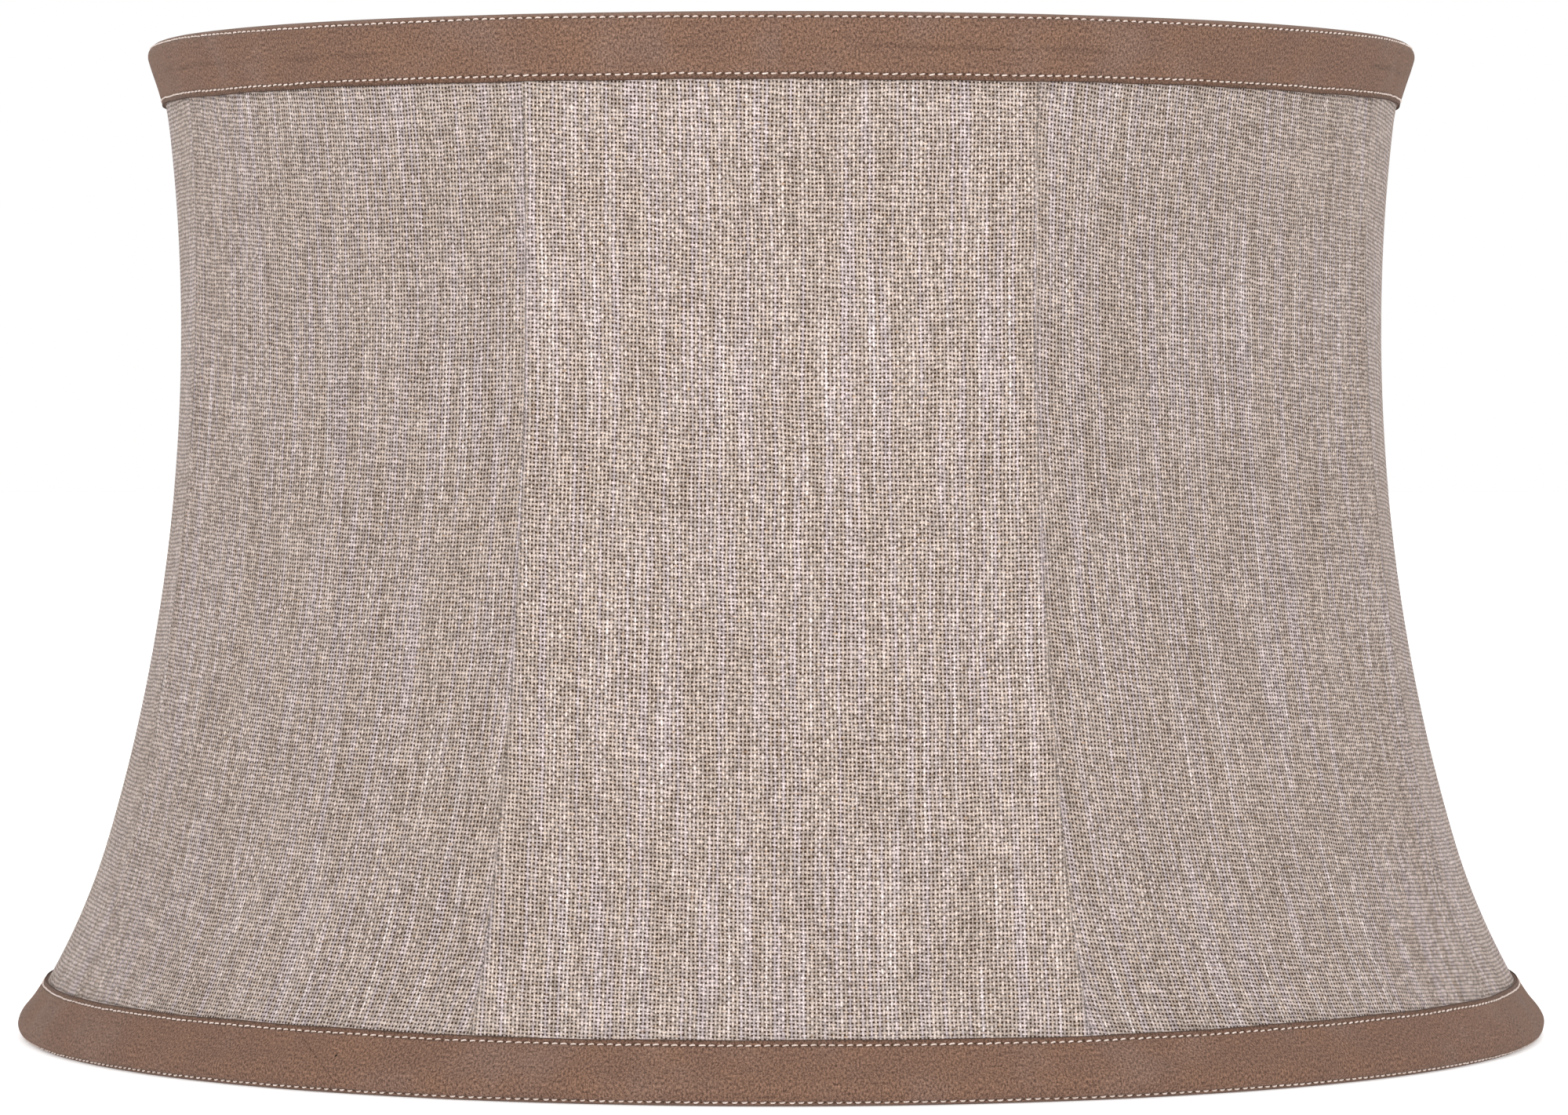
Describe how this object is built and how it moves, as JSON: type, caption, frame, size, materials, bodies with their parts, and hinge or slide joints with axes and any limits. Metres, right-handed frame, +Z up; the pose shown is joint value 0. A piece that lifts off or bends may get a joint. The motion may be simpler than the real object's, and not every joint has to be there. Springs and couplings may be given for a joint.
{
  "type": "lamp shade",
  "caption": "Bell-waisted softback lamp shade: linen over a ribbed wire frame, with stitched suede ribbon round both rims, a lining and a spider fitter.",
  "frame": {"origin": "middle of the bottom rim, on the surface the shade stands on", "axes": "+Z up the shade's axis to the top rim; -Y is the front, the middle of a panel"},
  "size_m": [0.4318, 0.4318, 0.2794],
  "materials": {
    "linen": "taupe plain-weave linen with slubs",
    "lining_cloth": "off-white lining cloth",
    "suede_ribbon": "brown suede ribbon with a short nap",
    "stitch_thread": "off-white twisted thread",
    "cotton_tape": "plain cotton tape",
    "frame_wire": "white coated steel wire",
    "spider_metal": "satin brass plate"
  },
  "bodies": {
    "root": {"linen_cover": "linen", "lining": "lining_cloth", "bottom_trim": "suede_ribbon", "top_trim": "suede_ribbon", "bottom_upper_stitching": "stitch_thread", "top_lower_stitching": "stitch_thread", "bottom_rim_stitching": "stitch_thread", "top_rim_stitching": "stitch_thread", "bottom_ring_binding": "cotton_tape", "top_ring_binding": "cotton_tape", "bottom_ring": "frame_wire", "top_ring": "frame_wire", "rib_1": "frame_wire", "rib_2": "frame_wire", "rib_3": "frame_wire", "rib_4": "frame_wire", "rib_5": "frame_wire", "rib_6": "frame_wire", "rib_7": "frame_wire", "rib_8": "frame_wire", "spider_arm_1": "spider_metal", "arm_neatener_1": "cotton_tape", "spider_arm_2": "spider_metal", "arm_neatener_2": "cotton_tape", "spider_arm_3": "spider_metal", "arm_neatener_3": "cotton_tape", "fitter_washer": "spider_metal"}
  },
  "joints": []
}
